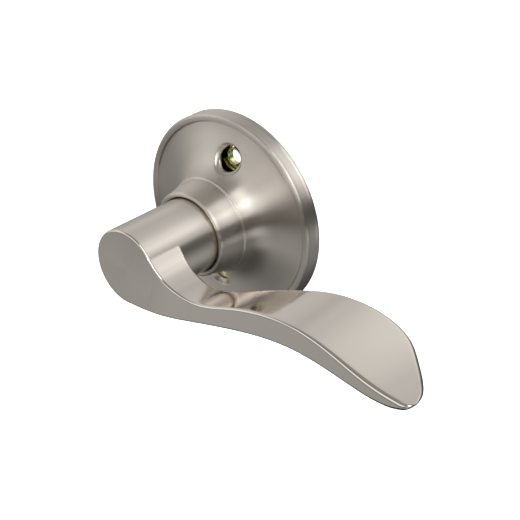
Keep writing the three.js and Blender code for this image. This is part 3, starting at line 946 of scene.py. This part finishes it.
# The brightnesses below and CEILING_LIGHT are not chosen by hand: a separate program fitted test
# renders to the photo, and they were rounded. So were the directions and widths of GLOWS.
# Lights with a soft fall-off: name, azimuth and elevation in degrees, narrowness, brightness
GLOWS = [
    ("right_rear_glow", 154, 33, 20, 1.2),
    ("rear_glow", -174, 37, 40, 0.45),
    ("left_wall_glow", -126, 7, 5, 0.44),
    ("left_fill", -73, 4, 10, 0.8),
    ("table_glow_rear", 132, -33, 10, 0.4),
]
# Softboxes with an edge: name, azimuth from and to, elevation from and to, softness, brightness
SOFTBOXES = [
    ("right_key", 45, 90, 16, 45, 2.5, 2.1),
    ("right_key_middle", 40, 80, 30, 50, 3, 2.85),
    ("right_key_top", 40, 80, 50, 70, 3, 4.2),
    ("right_wall", 90, 150, 16, 45, 2.5, 0.25),
    ("front_strip", 0, 30, 0, 10, 3, 2.2),
    ("front_left_low", -60, 0, 0, 30, 6, 0.85),
    ("front_left_high", -30, 0, 10, 40, 4, 0.4),
    ("left_high", -150, -60, 20, 60, 8, 0.25),
    ("rear_high", 150, 210, 30, 60, 5, 0.25),
    ("table_left", -60, 0, -12, 0, 4, 0.7),
    ("table_front", -60, 30, -45, -25, 6, 0.4),
    ("table_front_right", 30, 60, -45, -10, 5, 0.75),
    ("table_right", 60, 90, -25, -12, 3, 1.05),
]
CEILING_LIGHT = 0.31
ROOM_LIGHT = 0.04


class Sky:
    """The world's node tree: lights a long way off, added to each other."""

    def __init__(self):
        world = bpy.data.worlds.new("studio")
        world.use_nodes = True
        bpy.context.scene.world = world
        self.tree = world.node_tree
        self.tree.nodes.clear()
        self.ray = self.tree.nodes.new("ShaderNodeTexCoord").outputs["Generated"]
        split = self.tree.nodes.new("ShaderNodeSeparateXYZ")
        self.tree.links.new(self.ray, split.inputs[0])
        x, y, z = split.outputs
        self.azimuth = self.math("ARCTAN2", x, self.math("MULTIPLY", y, -1.0))
        self.elevation = self.math("ARCSINE", z)
        self.height = z
        self.total = None

    def math(self, operation, *values):
        made = self.tree.nodes.new("ShaderNodeMath")
        made.operation = operation
        for socket, value in zip(made.inputs, values):
            if isinstance(value, (int, float)):
                socket.default_value = value
            else:
                self.tree.links.new(value, socket)
        return made.outputs[0]

    def add(self, name, level, strength=None):
        glow = self.tree.nodes.new("ShaderNodeBackground")
        glow.label = name
        glow.inputs["Color"].default_value = (level, level, level, 1)
        if strength is not None:
            self.tree.links.new(strength, glow.inputs["Strength"])
        if self.total is None:
            self.total = glow.outputs[0]
            return
        both = self.tree.nodes.new("ShaderNodeAddShader")
        self.tree.links.new(self.total, both.inputs[0])
        self.tree.links.new(glow.outputs[0], both.inputs[1])
        self.total = both.outputs[0]

    def glow(self, azimuth, elevation, narrowness):
        dot = self.tree.nodes.new("ShaderNodeVectorMath")
        dot.operation = "DOT_PRODUCT"
        dot.inputs[1].default_value = direction(azimuth, elevation)
        self.tree.links.new(self.ray, dot.inputs[0])
        fall = self.math("MULTIPLY_ADD", dot.outputs["Value"], narrowness, -narrowness)
        return self.math("EXPONENT", fall)

    def within(self, angle, low, high, softness):
        """1 where an angle is between low and high, in degrees, falling softly to 0 outside."""
        middle, half = math.radians((low + high) / 2), math.radians((high - low) / 2)
        offset = self.math("SUBTRACT", angle, middle)
        apart = self.math("ABSOLUTE", self.math("WRAP", offset, math.pi, -math.pi))
        made = self.tree.nodes.new("ShaderNodeMapRange")
        made.interpolation_type = "SMOOTHSTEP"
        made.inputs["From Min"].default_value = half + math.radians(softness)
        made.inputs["From Max"].default_value = half - math.radians(softness)
        self.tree.links.new(apart, made.inputs["Value"])
        return made.outputs["Result"]

    def softbox(self, left, right, low, high, softness):
        across = self.within(self.azimuth, left, right, softness)
        return self.math("MULTIPLY", across, self.within(self.elevation, low, high, softness))


def world():
    sky = Sky()
    sky.add("room", ROOM_LIGHT)
    sky.add("ceiling", CEILING_LIGHT, sky.math("MAXIMUM", sky.height, 0.0))
    for name, *shape, brightness in GLOWS:
        sky.add(name, brightness, sky.glow(*shape))
    for name, *shape, brightness in SOFTBOXES:
        sky.add(name, brightness, sky.softbox(*shape))
    sky.tree.links.new(sky.total, sky.tree.nodes.new("ShaderNodeOutputWorld").inputs[0])


# ---------------------------------------------------------------- assembly


def dress(obj, node, slot, material, bodies):
    """Gives a piece its material, and lets it stand for its CAD node."""
    obj.data.materials.clear()
    obj.data.materials.append(material)
    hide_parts(node)
    if node == "return_spring":
        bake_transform(obj)
    elif node == "catch_spring":
        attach(obj, "lever")
        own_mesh(obj)
    else:
        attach(obj, bodies[node])


def main():
    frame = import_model()
    bodies = {
        node: body
        for body, nodes in frame["record"]["behaviour"]["bodies"].items()
        for node in nodes
    }
    nickel_round, nickel_long = turned_nickel(), brushed_nickel()
    gold, zinc, steel, plastic = yellow_zinc(), bright_zinc(), spring_steel(), nylon()
    pieces = [
        (rose_cover(), "rose_cover", "satin_nickel", nickel_round),
        (collar_bushing(), "collar_bushing", "nylon", plastic),
        (mounting_plate(), "mounting_plate", "yellow_zinc", gold),
        (spring_cage(), "spring_cage", "yellow_zinc", gold),
        (rear_bush(), "rear_bush", "nylon", plastic),
        (front_bush(), "front_bush", "nylon", plastic),
        (spring_washer(), "spring_washer", "spring_steel", steel),
        (return_spring(), "return_spring", "spring_steel", steel),
        (lever_handle(), "lever_handle", "satin_nickel", nickel_long),
        (spindle_tube(), "spindle_tube", "bright_zinc", zinc),
        (spindle_socket(), "spindle_socket", "bright_zinc", zinc),
        (socket_pin(), "socket_pin", "spring_steel", steel),
        (drive_cam(), "drive_cam", "yellow_zinc", gold),
        (retaining_ring(), "retaining_ring", "spring_steel", steel),
        (lever_catch(), "lever_catch", "bright_zinc", zinc),
        (catch_spring(), "catch_spring", "spring_steel", steel),
    ]
    for which, place in zip(("upper", "lower"), SCREW_PLACES):
        node = "screw_ferrule_" + which
        pieces.append((screw_ferrule(node + "_sleeve", place), node, "yellow_zinc", gold))
    for i, place in enumerate(RIVET_PLACES, 1):
        node = f"cage_rivet_{i}"
        pieces.append((cage_rivet(node + "_head", place), node, "bright_zinc", zinc))
    for obj, node, slot, material in pieces:
        dress(obj, node, slot, material, bodies)
    camera()
    floor()
    world()
    bpy.context.scene.view_settings.view_transform = "Standard"


main()
